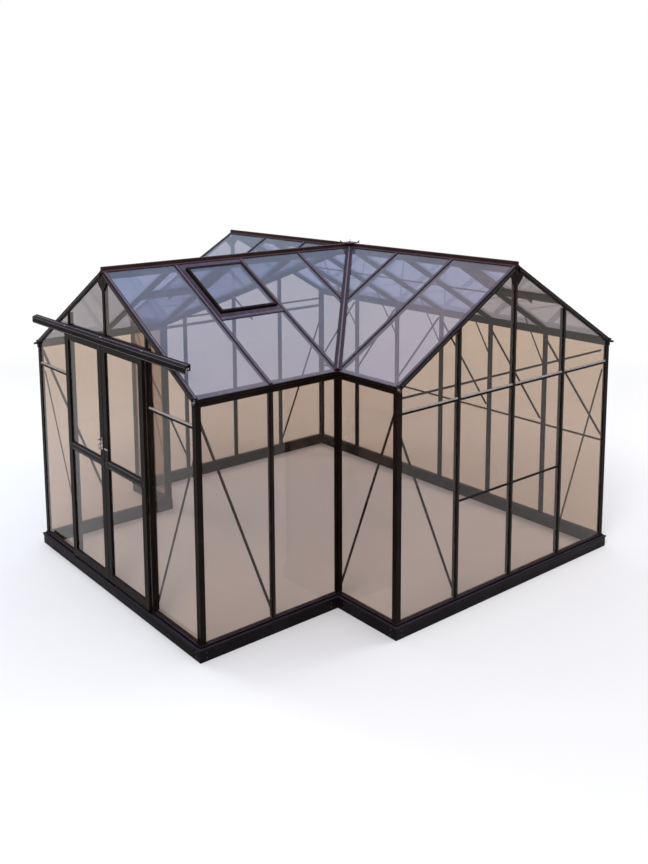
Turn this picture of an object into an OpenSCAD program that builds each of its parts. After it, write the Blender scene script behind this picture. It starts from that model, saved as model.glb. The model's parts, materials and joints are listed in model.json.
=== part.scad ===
// Glass greenhouse with a T-shaped plan: a main body, a wing with sliding doors, and three gables.
// The doors face -Y. The origin is on the ground, in the middle of the whole footprint.

/* [Overall] */
// Distance between the middles of two glazing bars
bay = 630; // [560:5:760]
// Height of the eaves, where wall glass and roof glass would meet
eave_h = 1862; // [1800:1:2300]
// Slope of the roof, in degrees
pitch = 30.5; // [22:0.5:36]

/* [Base] */
// Height of the plinth
plinth_h = 95; // [60:1:160]
// How far the plinth stands out from the glass
plinth_out = 30; // [20:1:36]
// Height of the sill that holds the foot of the glass
sill_h = 16; // [14:1:30]

/* [Glazing bars] */
// Thickness of the glass
glass_t = 4; // [3:0.5:6]
// Width of the outer cap of a bar
cap_w = 34; // [28:1:44]
// Thickness of the outer cap of a bar
cap_t = 6; // [4:0.5:9]
// Depth of a bar behind the middle of the glass
bar_in = 35; // [28:1:50]
// Width of the face of a corner post on each wall
post_face = 45; // [38:1:60]
// Height above the ground of the transoms in the gables
transom_z = 1668; // [1550:1:1700]
// Height of the ties inside the main gables
tie_z = 1761; // [1720:1:1780]
// Height of the joint between panes in the main gables
gable_joint_z = 875; // [500:1:1300]
// Height of the joint between panes in the rear wall
rear_joint_z = 958; // [500:1:1300]
// Width of the flat bracing bars
brace_w = 22; // [15:1:30]

/* [Roof] */
// Width of the ridge cap
ridge_w = 54; // [44:1:80]
// Side of the square plate over the crossing of the ridges
cover_w = 128; // [90:1:180]
// Height of the eave beam below the eaves
eave_beam_h = 57; // [50:1:100]
// How far the gutter reaches out from the glass
gutter_out = 23; // [19:1:36]
// How far the roof reaches past the glass of a gable
verge_out = 15; // [14:1:30]
// Length of a roof vent down the slope
vent_len = 670; // [400:1:900]
// Height of a vent frame above the bars it lies on
vent_h = 28; // [20:1:36]

/* [Doors] */
// Height of a door leaf
leaf_h = 1924; // [1700:1:1930]
// Thickness of a door leaf
leaf_t = 26; // [20:1:32]
// Width of the upright parts of a leaf
stile_w = 60; // [40:1:80]
// Height of the top and bottom rails of a leaf
leaf_rail_h = 62; // [40:1:90]
// Height of the middle of the middle rail above the ground
mid_rail_z = 1096; // [800:1:1180]
// Height of the latch above the ground
latch_z = 1232; // [1200:1:1500]
// How far the pull of the latch stands out from its leaf
pull_out = 36; // [30:1:50]
// Gap between a leaf and what it slides past
slide_gap = 6; // [5:0.5:10]
// Gap between the closed leaves
leaf_gap = 5; // [5:0.5:8]
// Height of the door track
track_h = 66; // [62:1:90]

/* [Hidden] */

// Plan, measured from the crossing of the ridges: the walls stand on whole numbers of bays.
half_span = 2 * bay;
main_end = 3 * bay;
wing_end = 4 * bay;

// Glazing: a pane lies in the middle plane of a bar, between its cap and its shoulders.
glass_play = 0.1;
pane_out = glass_t / 2;
glass_out = pane_out + glass_play;
cap_top = glass_out + cap_t;
neck_w = 18;
shoulder_w = 28;
shoulder_t = 4;
shoulder_in = glass_out + shoulder_t;
web_t = 5;
flange_w = 16;
flange_t = 3;
edge_play = 1;
pane_inset = neck_w / 2 + edge_play;
post_wing = post_face - cap_top;

// Heights, and the slopes of the roof
cosp = cos(pitch);
sill_top = plinth_h + sill_h;
sill_floor = plinth_h + 8;
sill_out = 14;
beam_z = eave_h - eave_beam_h;
beam_in = 28;
beam_slot = 7;
function roof_z(d, n = 0) = eave_h + d * tan(pitch) + n / cosp;
ridge_z = roof_z(half_span);
ridge_top = ridge_z + 31;
slope_len = half_span / cosp;
verge_in = 30;
function rake_z(x) = roof_z(half_span - abs(x), -verge_in);
seat_in = 6;
foot_out = 2;
gutter_t = 4;
gutter_z = eave_h - 13;
lip_foot = eave_h - 17;
lip_top = eave_h + 5;

// Level bars in the walls
transom_neck = 5;
strip_h = 16;
strip_t = 2.5;
strip_neck = 1.5;
tie_h = 18;
tie_t = 12;
brace_t = 3;
header_h = 62;
header_in = 28;
header_slot = 6;

// Ridge and valley
ridge_neck = 10;
valley_neck = 10;
valley_cap = 30;
valley_pitch = atan(tan(pitch) / sqrt(2));
valley_edge = (valley_neck + edge_play) * sqrt(2);
valley_trim = valley_cap * sqrt(2);

// Vents
vent_curb = 29;
vent_head = 72;
vent_bar = 22;
vent_w = bay - cap_w - 2 * vent_curb;
vent_top = slope_len - ridge_w / 2 / cosp - 3;
vent_foot = vent_top - vent_len;
vent_sash_len = vent_len - vent_curb - vent_head;
vent_glass_n = cap_top + vent_h - 7;
roof_joint_y = vent_foot - 20;

// Sliding doors: distances outward from the glass of the door gable
leaf_back = verge_out + slide_gap;
leaf_front = leaf_back + leaf_t;
leaf_mid = leaf_back + leaf_t / 2;
leaf_foot = sill_top + 15;
leaf_top = leaf_foot + leaf_h;
track_wall = 3;
track_back = verge_out + 1;
track_front = leaf_front + slide_gap + 7;
track_z = leaf_top - 12;
track_half = 1.965 * bay;
track_ledge_z = leaf_top + 8;
roller_r = 11;
hanger_n = leaf_mid + 1.5;
header_z = track_z - 2;
guide_half = track_half;

// The footprint reaches from the pull in front to the gutter or the plinth behind.
front_out = leaf_front + pull_out;
rear_out = max(gutter_out, plinth_out + 6);
ridge_y = bay + (front_out - rear_out) / 2;

black = "#1c1718";
deep_black = "#141216";
clear = [0.75, 0.82, 0.85, 0.35];
steel = "#b9aaa8";

// ---- placing ----

// Face of a wall that looks along -Y turned by dir: x along the wall, y up, z outward
module on_wall(dir, dist)
    translate([0, ridge_y, 0]) rotate([0, 0, dir]) translate([0, -dist, 0]) rotate([90, 0, 0]) children();

// Face of a roof slope: x along the eave, y up the slope from the eave, z outward
module on_slope(dir)
    translate([0, ridge_y, 0]) rotate([0, 0, dir]) translate([0, -half_span, eave_h])
        rotate([pitch, 0, 0]) children();

// Upright bar at x from a to b; its section is (across, outward)
module upright(x, a, b) translate([x, b, 0]) rotate([90, 0, 0]) linear_extrude(b - a) children();

// Level bar at height y, from a to b; its section is (up, outward)
module level(a, b, y = 0) translate([a, y, 0]) rotate([90, 0, 90]) linear_extrude(b - a) children();

// Flat piece in the plane of the glass, from n0 to n1 outward
module plate(n0, n1) translate([0, 0, n0]) linear_extrude(n1 - n0) children();

// Vertical section through an eave, (up, outward), extruded along it from a to b
module along_eave(dir, a, b) on_wall(dir, half_span) level(a, b) children();

module both_sides() for (s = [0, 1]) mirror([s, 0, 0]) children();

function mirrored(half) = concat(half, [for (i = [len(half) - 1 : -1 : 0]) [-half[i][0], half[i][1]]]);

// Runs round the outline: [direction, distance, start, start corner, end, end corner].
// A corner is 1 where it points out, -1 where it points in, and 0 where the run is cut square.
front_runs = [
    [0, wing_end, -half_span, 1, half_span, 1],
    [0, half_span, half_span, -1, main_end, 1],
    [0, half_span, -main_end, 1, -half_span, -1],
    [180, half_span, -main_end, 1, main_end, 1],
];
side_runs = [
    [90, half_span, -wing_end, 1, -half_span, -1],
    [270, half_span, half_span, -1, wing_end, 1],
    [90, main_end, -half_span, 1, half_span, 1],
    [270, main_end, -half_span, 1, half_span, 1],
];
main_eave_end = main_end + verge_out;
wing_eave_end = wing_end + verge_out;
main_eave_runs = [
    [0, half_span, half_span, -1, main_eave_end, 0],
    [0, half_span, -main_eave_end, 0, -half_span, -1],
    [180, half_span, -main_eave_end, 0, main_eave_end, 0],
];
wing_eave_runs = [
    [90, half_span, -wing_eave_end, 0, -half_span, -1],
    [270, half_span, half_span, -1, wing_eave_end, 0],
];

// One section along each run, mitred at the corners
module along_runs(runs) {
    reach = 100;
    for (r = runs) on_wall(r[0], r[1]) intersection() {
        level(r[2] - reach, r[4] + reach) children();
        rotate([-90, 0, 0]) linear_extrude(3 * eave_h, center = true) polygon([
            [r[2] + r[3] * reach, reach], [r[4] - r[5] * reach, reach],
            [r[4] + r[5] * reach, -reach], [r[2] - r[3] * reach, -reach],
        ]);
    }
}

// ---- base ----

module plinth_section() polygon([
    [0, -plinth_out], [0, plinth_out], [plinth_h - 12, plinth_out], [plinth_h - 12, plinth_out + 6],
    [plinth_h, plinth_out + 6], [plinth_h, -plinth_out],
]);

module sill_section() polygon([
    [plinth_h, -beam_in], [plinth_h, sill_out], [sill_top, sill_out], [sill_top, glass_out],
    [sill_floor, glass_out], [sill_floor, -glass_out], [sill_top, -glass_out], [sill_top, -beam_in],
]);

module plinth_fronts() color(deep_black) along_runs(front_runs) plinth_section();
module plinth_sides() color(deep_black) along_runs(side_runs) plinth_section();
module sill_fronts() color(black) along_runs(front_runs) sill_section();
module sill_sides() color(black) along_runs(side_runs) sill_section();

// ---- uprights ----

// Glazing bar: (across, outward)
module bar_section() polygon(mirrored([
    [cap_w / 2 - 3, cap_top], [cap_w / 2, cap_top - 2], [cap_w / 2, glass_out],
    [neck_w / 2, glass_out], [neck_w / 2, -glass_out], [shoulder_w / 2, -glass_out],
    [shoulder_w / 2, -shoulder_in], [web_t / 2, -shoulder_in], [web_t / 2, flange_t - bar_in],
    [flange_w / 2, flange_t - bar_in], [flange_w / 2, -bar_in],
]));

// Outer corner post in plan, both coordinates outward from the glass of its two walls
corner_points = [
    [cap_top, cap_top], [cap_top, -post_wing], [glass_out, -post_wing], [glass_out, -neck_w / 2],
    [-glass_out, -neck_w / 2], [-glass_out, -bar_in], [-shoulder_in, -bar_in],
    [-shoulder_in, -neck_w / 2], [-neck_w / 2, -neck_w / 2], [-neck_w / 2, -shoulder_in],
    [-bar_in, -shoulder_in], [-bar_in, -glass_out], [-neck_w / 2, -glass_out],
    [-neck_w / 2, glass_out], [-post_wing, glass_out], [-post_wing, cap_top],
];

// Inner corner post in plan: its walls run away to the outside
inner_corner_points = [
    [post_wing, cap_top], [cap_top, cap_top], [cap_top, post_wing], [glass_out, post_wing],
    [glass_out, neck_w / 2], [-glass_out, neck_w / 2], [-glass_out, shoulder_w / 2],
    [-shoulder_in, shoulder_w / 2], [-shoulder_in, neck_w / 2], [-bar_in, neck_w / 2],
    [-bar_in, -neck_w / 2], [-neck_w / 2, -neck_w / 2], [-neck_w / 2, -bar_in], [neck_w / 2, -bar_in],
    [neck_w / 2, -shoulder_in], [shoulder_w / 2, -shoulder_in], [shoulder_w / 2, -glass_out],
    [neck_w / 2, -glass_out], [neck_w / 2, glass_out], [post_wing, glass_out],
];

module corner_post(x, y, sy, points)
    for (sx = [-1, 1]) translate([0, ridge_y, sill_top]) linear_extrude(beam_z - sill_top)
        polygon([for (p = points) [sx * (x + p[0]), y + sy * p[1]]]);

module corner_posts() color(black) {
    corner_post(half_span, -wing_end, -1, corner_points);
    corner_post(main_end, -half_span, -1, corner_points);
    corner_post(main_end, half_span, 1, corner_points);
}

module inner_corner_posts() color(black) corner_post(half_span, -half_span, -1, inner_corner_points);

// Bars of the rear wall and of the sides of the wing
module wall_bars() color(black) {
    on_wall(180, half_span) for (i = [-2 : 2]) upright(i * bay, sill_top, beam_z) bar_section();
    on_wall(90, half_span) upright(-3 * bay, sill_top, beam_z) bar_section();
    on_wall(270, half_span) upright(3 * bay, sill_top, beam_z) bar_section();
}

// Space under the slopes of a gable
module under_rake(n0, n1) plate(n0, n1) polygon([
    [-half_span, 0], [half_span, 0], [half_span, rake_z(half_span)], [0, rake_z(0)],
    [-half_span, rake_z(half_span)],
]);

module raked_posts(places, foot) intersection() {
    for (x = places) upright(x, foot, ridge_top) bar_section();
    under_rake(-2 * bar_in, 2 * cap_top);
}

module gable_posts() color(black)
    for (dir = [90, 270]) on_wall(dir, main_end) raked_posts([-bay, 0, bay], sill_top);

module door_posts() color(black) on_wall(0, wing_end) raked_posts([-bay, bay], sill_top);

module door_gable_post() color(black) on_wall(0, wing_end) raked_posts([0], header_z + header_h);

// ---- level bars ----

// The upper face of a transom slopes, so that it sheds water.
module transom_section() polygon([
    [-14, glass_out], [-14, cap_top], [3, cap_top], [16, glass_out + 1], [16, glass_out],
    [transom_neck, glass_out], [transom_neck, -glass_out], [10, -glass_out], [10, -shoulder_in],
    [web_t / 2, -shoulder_in], [web_t / 2, -header_in], [-web_t / 2, -header_in],
    [-web_t / 2, -shoulder_in], [-10, -shoulder_in], [-10, -glass_out], [-transom_neck, -glass_out],
    [-transom_neck, glass_out],
]);

// Level bars of one section between the posts at the places given, the last ones being corner posts
module bays_of(places, y, corner) for (i = [0 : len(places) - 2]) {
    a = places[i] + (i == 0 && corner ? post_wing : cap_w / 2);
    b = places[i + 1] - (i == len(places) - 2 && corner ? post_wing : cap_w / 2);
    level(a, b, y) children();
}

gable_places = [-half_span, -bay, 0, bay, half_span];

module transoms() color(black) {
    for (dir = [90, 270]) on_wall(dir, main_end) bays_of(gable_places, transom_z, true) transom_section();
    on_wall(0, wing_end) both_sides()
        level(bay + cap_w / 2, half_span - post_wing, transom_z) transom_section();
}

// Ties across the inside of the main gables, behind the posts
module gable_ties() color(black)
    for (dir = [90, 270]) on_wall(dir, main_end)
        level(bar_in + brace_t + 2 - half_span, half_span - bar_in - brace_t - 2, tie_z)
            polygon([[-tie_h / 2, -bar_in], [tie_h / 2, -bar_in], [tie_h / 2, -bar_in - 2],
                [2 - tie_h / 2, -bar_in - 2], [2 - tie_h / 2, -bar_in - tie_t], [-tie_h / 2, -bar_in - tie_t]]);

// Joint strip between two panes
module strip_section() polygon([
    [-strip_h / 2, glass_out], [-strip_h / 2, glass_out + strip_t], [strip_h / 2, glass_out + strip_t],
    [strip_h / 2, glass_out], [strip_neck, glass_out], [strip_neck, -glass_out],
    [strip_h / 2, -glass_out], [strip_h / 2, -glass_out - strip_t], [-strip_h / 2, -glass_out - strip_t],
    [-strip_h / 2, -glass_out], [-strip_neck, -glass_out], [-strip_neck, glass_out],
]);

rear_places = [for (i = [-3 : 3]) i * bay];

module glass_strips() color(black) {
    for (dir = [90, 270]) on_wall(dir, main_end)
        bays_of([-bay, 0, bay], gable_joint_z, false) strip_section();
    on_wall(180, half_span) bays_of(rear_places, rear_joint_z, true) strip_section();
    on_slope(180) bays_of([for (i = [-2 : 2]) i * bay], roof_joint_y, false) strip_section();
}

module door_header() color(black) on_wall(0, wing_end)
    level(cap_w / 2 - bay, bay - cap_w / 2, header_z) polygon([
        [0, cap_top], [header_h, cap_top], [header_h, glass_out], [header_h - header_slot, glass_out],
        [header_h - header_slot, -glass_out], [header_h, -glass_out], [header_h, -header_in],
        [0, -header_in],
    ]);

// ---- bracing ----

// Flat bar from p to q on the inner faces of the bars
module brace(p, q) {
    along = (q - p) / norm(q - p);
    side = [-along[1], along[0]] * brace_w / 2;
    plate(-bar_in - brace_t, -bar_in) polygon([p + side, q + side, q - side, p - side]);
}

brace_play = 16;
brace_corner = half_span - brace_play;
brace_top = transom_z - 75;
brace_foot = sill_top + 70;

module wall_braces() color(black) {
    for (dir = [90, 270]) on_wall(dir, main_end) both_sides()
        brace([brace_corner, brace_top], [bay, brace_foot]);
    on_wall(0, wing_end) both_sides() brace([brace_corner, brace_top], [bay, brace_foot]);
    on_wall(0, half_span) both_sides()
        brace([main_end - brace_play, beam_z - 20], [half_span, brace_foot]);
    on_wall(90, half_span) brace([brace_play - wing_end, beam_z - 20], [-3 * bay, brace_foot]);
    on_wall(270, half_span) brace([wing_end - brace_play, beam_z - 20], [3 * bay, brace_foot]);
    on_wall(180, half_span) both_sides() for (i = [0 : 2])
        brace([i * bay + 14, beam_z - 20], [(i + 1) * bay - 14, rear_joint_z + 60]);
}

// Knee braces between the rear bars and their rafters
knee_z = 1518;
knee_in = bay / 2;
knee_h = 30;

module knee_braces() color(black) on_wall(180, half_span) for (i = [-2 : 2])
    level(i * bay - web_t / 2, i * bay + web_t / 2) polygon([
        [knee_z, -bar_in], [knee_z + knee_h, -bar_in],
        [roof_z(knee_in - 8, -bar_in), 8 - knee_in], [roof_z(knee_in + 8, -bar_in), -knee_in - 8],
    ]);

plate_half = 70;
plate_h = 120;

module apex_plate() plate(cap_top, cap_top + 3) polygon([
    [0, rake_z(0)], [plate_half, rake_z(plate_half)], [plate_half, rake_z(plate_half) - 22],
    [cap_w / 2, rake_z(0) - plate_h], [-cap_w / 2, rake_z(0) - plate_h],
    [-plate_half, rake_z(plate_half) - 22], [-plate_half, rake_z(plate_half)],
]);

module apex_plates() color(black) {
    for (dir = [90, 270]) on_wall(dir, main_end) apex_plate();
    on_wall(0, wing_end) apex_plate();
}

// ---- eaves ----

// Eave beam: a seat for the foot of the roof glass, and a small gutter outside it, (up, outward)
function eave_z(out, n = 0) = roof_z(-out, n);
module eave_section() polygon([
    [beam_z, -beam_in], [beam_z, -glass_out], [beam_z + beam_slot, -glass_out],
    [beam_z + beam_slot, glass_out], [beam_z, glass_out], [beam_z, cap_top],
    [lip_foot, cap_top], [lip_foot, gutter_out - 3], [lip_foot + 3, gutter_out],
    [lip_top - 2, gutter_out], [lip_top, gutter_out - 2], [lip_top, gutter_out - gutter_t],
    [gutter_z, gutter_out - gutter_t], [gutter_z, -seat_in], [eave_z(-seat_in, -glass_out), -seat_in],
    [eave_z(-beam_in, -glass_out), -beam_in],
]);

module main_eaves() color(black) along_runs(main_eave_runs) eave_section();
module wing_eaves() color(black) along_runs(wing_eave_runs) eave_section();

// Plate and round knob that close the end of a gutter
module gutter_end(x, end) mirror([end, 0, 0]) {
    level(x, x + 3) polygon([[lip_foot - 14, 0], [lip_foot - 14, gutter_out - 6], [lip_foot, gutter_out],
        [lip_top, gutter_out], [lip_top, gutter_out - 5], [eave_z(0, -glass_out), 0]]);
    translate([x + 3, eave_h - 20, gutter_out - 7]) rotate([0, 90, 0]) cylinder(h = 22, r = 10, $fn = 48);
}

module gutter_ends() color(black) {
    for (dir = [0, 180], end = [0, 1]) on_wall(dir, half_span) gutter_end(main_eave_end, end);
    on_wall(90, half_span) gutter_end(wing_eave_end, 1);
    on_wall(270, half_span) gutter_end(wing_eave_end, 0);
}

// ---- ridges ----

function from_ridge(d, n) = roof_z(half_span - d, n);
module ridge_section() polygon(mirrored([
    [6, ridge_top], [11, ridge_top - 4], [12, ridge_top - 10], [12, from_ridge(12, 9)],
    [ridge_w / 2, from_ridge(ridge_w / 2, 9)], [ridge_w / 2, from_ridge(ridge_w / 2, glass_out)],
    [ridge_neck, from_ridge(ridge_neck, glass_out)], [ridge_neck, from_ridge(ridge_neck, -glass_out)],
    [22, from_ridge(22, -glass_out)], [22, from_ridge(22, -7)], [4, from_ridge(4, -7)],
    [4, ridge_z - 66], [12, ridge_z - 66], [12, ridge_z - 70],
]));

module ridges() color(black) difference() {
    union() {
        translate([-main_eave_end, ridge_y, 0]) rotate([90, 0, 90])
            linear_extrude(2 * main_eave_end) ridge_section();
        translate([0, ridge_y - ridge_w / 2 - 1, 0]) rotate([90, 0, 0])
            linear_extrude(wing_eave_end - ridge_w / 2 - 1) ridge_section();
    }
    for (dir = [90, 270]) on_wall(dir, main_end) under_rake(-bar_in, 3 * verge_out);
    on_wall(0, wing_end) under_rake(-bar_in, 3 * verge_out);
}

cover_t = 5;
tip_h = 20;

// Square plate over the crossing, with its four corners turned up
module ridge_cover() color("#2a1712") translate([0, ridge_y, ridge_top]) {
    translate([-cover_w / 2, -cover_w / 2, 0]) cube([cover_w, cover_w, cover_t]);
    for (a = [45 : 90 : 315]) rotate([90, 0, a]) translate([cover_w / 2 * sqrt(2), 0, -2])
        linear_extrude(4) polygon([[-26, cover_t - 1], [-4, cover_t + tip_h], [-1, cover_t + tip_h], [-6, cover_t - 1]]);
}

// ---- rafters ----

// Where a bar of a slope may be: between the ridge and the eave beam, and above the seat
module bar_zone(dir) along_eave(dir, -2 * wing_end, 2 * wing_end) polygon([
    [0, ridge_w / 2 - half_span], [0, -beam_in], [eave_z(-beam_in, -glass_out), -beam_in],
    [eave_z(foot_out, -glass_out), foot_out], [2 * ridge_top, foot_out],
    [2 * ridge_top, ridge_w / 2 - half_span],
]);

module slope_bars(dir, places) intersection() {
    on_slope(dir) for (x = places) upright(x, -bay, slope_len + bay) bar_section();
    bar_zone(dir);
}

// Plan of the front slopes of the main body, and of the wing, up to the caps of the valley bars
module main_side() translate([0, ridge_y, 0]) linear_extrude(2 * ridge_top) both_sides() polygon([
    [valley_trim, 0], [2 * main_end, 0], [2 * main_end, valley_trim - 2 * main_end],
]);
module wing_side() translate([0, ridge_y, 0]) linear_extrude(2 * ridge_top) polygon([
    [0, -valley_trim], [2 * wing_end - valley_trim, -2 * wing_end], [valley_trim - 2 * wing_end, -2 * wing_end],
]);

module main_rafters() color(black) {
    slope_bars(180, [for (i = [-2 : 2]) i * bay]);
    intersection() {
        slope_bars(0, [-half_span, half_span]);
        main_side();
    }
}

module wing_rafters() color(black) intersection() {
    union() {
        slope_bars(90, [-3 * bay, -half_span]);
        slope_bars(270, [half_span, 3 * bay]);
    }
    wing_side();
}

module jack_rafters() color(black) {
    intersection() {
        slope_bars(0, [-bay, bay]);
        main_side();
    }
    intersection() {
        union() {
            slope_bars(90, [-bay]);
            slope_bars(270, [bay]);
        }
        wing_side();
    }
}

// Height of the roof at v from the middle of the valley, n outward, in the plane square to the valley
function valley_w(v, n) = (v * tan(pitch) / sqrt(2) + n / cosp) * cos(valley_pitch);
module valley_section() polygon(mirrored([
    [valley_cap, valley_w(valley_cap, cap_top)], [valley_cap, valley_w(valley_cap, glass_out)],
    [valley_neck, valley_w(valley_neck, glass_out)], [valley_neck, valley_w(valley_neck, -glass_out)],
    [20, valley_w(20, -glass_out)], [20, -34],
]));

module valley_bar() difference() {
    intersection() {
        translate([0, ridge_y, ridge_z]) rotate([0, 0, -45]) rotate([0, valley_pitch, 0])
            rotate([90, 0, 90]) linear_extrude(2 * half_span) valley_section();
        translate([ridge_w / 2, ridge_y - ridge_w / 2 - half_span, 0]) cube([half_span, half_span, 2 * ridge_top]);
    }
    for (r = [[0, half_span - beam_in, half_span + bay], [90, -half_span - bay, beam_in - half_span]])
        along_eave(r[0], r[1], r[2]) polygon([
            [0, -beam_in], [0, bay], [eave_z(bay, -glass_out), bay], [eave_z(-beam_in, -glass_out), -beam_in],
        ]);
    translate([half_span + foot_out, ridge_y - half_span - bay - foot_out, 0]) cube([bay, bay, 2 * ridge_top]);
}

module valley_bars() color(black) both_sides() valley_bar();

// Bar at the edge of the roof, over the glass of a gable, (outward from the gable, outward from the roof)
module verge_section() polygon([
    [-cap_w / 2, glass_out], [-cap_w / 2, cap_top], [verge_out - 3, cap_top], [verge_out, cap_top - 3],
    [verge_out, -verge_in], [-neck_w / 2, -verge_in], [-neck_w / 2, -shoulder_in],
    [-shoulder_w / 2, -shoulder_in], [-shoulder_w / 2, -glass_out], [-neck_w / 2, -glass_out],
    [-neck_w / 2, glass_out],
]);

module verge(dir, place, end) intersection() {
    on_slope(dir) mirror([end, 0, 0]) upright(place, -bay, slope_len + bay) verge_section();
    bar_zone(dir);
}

module gable_rafters() color(black) {
    for (dir = [0, 180], end = [0, 1]) verge(dir, main_end, end);
    verge(90, wing_end, 1);
    verge(270, wing_end, 0);
}

// ---- glass ----

pane_foot = sill_floor + edge_play;
pane_head = beam_z + beam_slot - edge_play;

module pane(a, b, y0, y1) plate(-pane_out, pane_out) polygon([[a, y0], [b, y0], [b, y1], [a, y1]]);

// Pane of a gable whose head follows the slope; at a corner it is notched round the eave beam.
module raked_pane(a, b, y0) {
    notch = max(abs(a), abs(b)) > half_span - beam_in;
    s = b > 0 ? 1 : -1;
    near = min(abs(a), abs(b));
    far = max(abs(a), abs(b));
    inner = half_span - beam_in - edge_play;
    plate(-pane_out, pane_out) polygon(concat(
        [[s * near, y0], [s * far, y0]],
        notch ? [[s * far, beam_z - edge_play], [s * inner, beam_z - edge_play],
            [s * inner, rake_z(inner) - edge_play]] : [[s * far, rake_z(far) - edge_play]],
        [[s * near, rake_z(near) - edge_play]]
    ));
}

corner_bay = [bay + pane_inset, half_span - pane_inset];
middle_bay = [pane_inset, bay - pane_inset];
below_transom = transom_z - transom_neck - edge_play;
above_transom = transom_z + transom_neck + edge_play;
strip_play = strip_neck + edge_play / 2;

module door_gable_glass() color(clear) on_wall(0, wing_end) both_sides() {
    pane(corner_bay[0], corner_bay[1], pane_foot, below_transom);
    raked_pane(corner_bay[0], corner_bay[1], above_transom);
    raked_pane(middle_bay[0], middle_bay[1], header_z + header_h - header_slot + edge_play);
}

module side_glass() color(clear) {
    on_wall(90, half_span) for (i = [3, 4]) pane(pane_inset - i * bay, (1 - i) * bay - pane_inset, pane_foot, pane_head);
    on_wall(270, half_span) for (i = [2, 3]) pane(i * bay + pane_inset, (i + 1) * bay - pane_inset, pane_foot, pane_head);
    on_wall(0, half_span) both_sides() pane(half_span + pane_inset, main_end - pane_inset, pane_foot, pane_head);
}

module main_gable_glass() color(clear) for (dir = [90, 270]) on_wall(dir, main_end) both_sides() {
    pane(corner_bay[0], corner_bay[1], pane_foot, below_transom);
    raked_pane(corner_bay[0], corner_bay[1], above_transom);
    pane(middle_bay[0], middle_bay[1], pane_foot, gable_joint_z - strip_play);
    pane(middle_bay[0], middle_bay[1], gable_joint_z + strip_play, below_transom);
    raked_pane(middle_bay[0], middle_bay[1], above_transom);
}

module rear_glass() color(clear) on_wall(180, half_span) for (i = [-3 : 2]) {
    a = i * bay + pane_inset;
    b = (i + 1) * bay - pane_inset;
    pane(a, b, pane_foot, rear_joint_z - strip_play);
    pane(a, b, rear_joint_z + strip_play, pane_head);
}

// Roof panes reach from the slot of the ridge to the gutter.
roof_head = (half_span - ridge_neck - edge_play) / cosp;
roof_foot = -foot_out / cosp;
vent_pane_head = vent_foot - 22 - edge_play;

// Pane of bay i of a slope that ends at a valley: (along the eave, in plan from the ridge)
function valley_pane(i, end, top) = let (
    a = i * bay + pane_inset,
    b = min((i + 1) * bay, end) - pane_inset,
    low = half_span + foot_out,
    down = function (x) min(low, x - valley_edge)
) i == 0 ? [[top + valley_edge, top], [b, top], [b, down(b)]]
    : i == 1 ? [[a, top], [b, top], [b, down(b)], [a, down(a)]]
    : i == 2 ? [[a, top], [b, top], [b, low], [low + valley_edge, low], [a, down(a)]]
    : [[a, top], [b, top], [b, low], [a, low]];

module slope_panes(dir, side, bays, end, vent_bay) on_slope(dir) for (i = bays) {
    top = i == vent_bay ? half_span - vent_pane_head * cosp : ridge_neck + edge_play;
    plate(-pane_out, pane_out)
        polygon([for (p = valley_pane(i, end, top)) [side * p[0], (half_span - p[1]) / cosp]]);
}

module main_roof_glass() color(clear) {
    for (side = [-1, 1]) slope_panes(0, side, [0 : 2], main_end, -1);
    on_slope(180) for (i = [-3 : 2]) {
        a = i * bay + pane_inset;
        b = (i + 1) * bay - pane_inset;
        if (abs(i + 0.5) > 2) pane(a, b, roof_foot, vent_pane_head);
        else {
            pane(a, b, roof_foot, roof_joint_y - strip_play);
            pane(a, b, roof_joint_y + strip_play, roof_head);
        }
    }
}

module wing_roof_glass() color(clear) {
    slope_panes(90, -1, [0 : 3], wing_end, 2);
    slope_panes(270, 1, [0 : 3], wing_end, 2);
}

// ---- vents ----

// The four vents: [slope, middle]
vents = [[90, -2.5 * bay], [270, 2.5 * bay], [180, -2.5 * bay], [180, 2.5 * bay]];

module block(x, y, z0, z1) translate([-x / 2, 0, z0]) cube([x, y, z1 - z0]);

module in_sash(inset) translate([0, vent_curb + inset, 0]) children();

module vent_frames() color(black) for (v = vents) on_slope(v[0]) translate([v[1], vent_foot, 0])
    difference() {
        in_sash(0) block(vent_w, vent_sash_len, cap_top, cap_top + vent_h);
        in_sash(vent_bar) block(vent_w - 2 * vent_bar, vent_sash_len - 2 * vent_bar, 0, 2 * (cap_top + vent_h));
        in_sash(vent_bar - 8) block(vent_w - 2 * vent_bar + 16, vent_sash_len - 2 * vent_bar + 16,
            vent_glass_n - glass_out, vent_glass_n + glass_out);
    }

module vent_glass() color(clear) for (v = vents) on_slope(v[0]) translate([v[1], vent_foot, 0])
    in_sash(vent_bar - 7) block(vent_w - 2 * vent_bar + 14, vent_sash_len - 2 * vent_bar + 14,
        vent_glass_n - pane_out, vent_glass_n + pane_out);

// Fixed curb that a vent lies on, between two rafters, with a bar at its foot that holds the pane below
module vent_curbs() color(black) for (v = vents) on_slope(v[0]) translate([v[1], vent_foot, 0]) {
    difference() {
        block(bay - cap_w, vent_len, -glass_out, cap_top);
        in_sash(vent_bar) block(vent_w - 2 * vent_bar, vent_sash_len - 2 * vent_bar, -bar_in, 2 * cap_top);
        translate([0, -vent_len / 2, 0]) for (x = [-1, 1]) translate([x * (bay - cap_w) / 2, 0, 0])
            block(4, 2 * vent_len, cap_top - 2, 2 * cap_top);
    }
    level((cap_w - bay) / 2, (bay - cap_w) / 2) polygon([
        [-38, glass_out], [-38, cap_top - 2], [-36, cap_top], [-2, cap_top], [0, cap_top - 2],
        [0, -shoulder_in], [-36, -shoulder_in], [-36, -glass_out], [-22, -glass_out], [-22, glass_out],
    ]);
}

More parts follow.
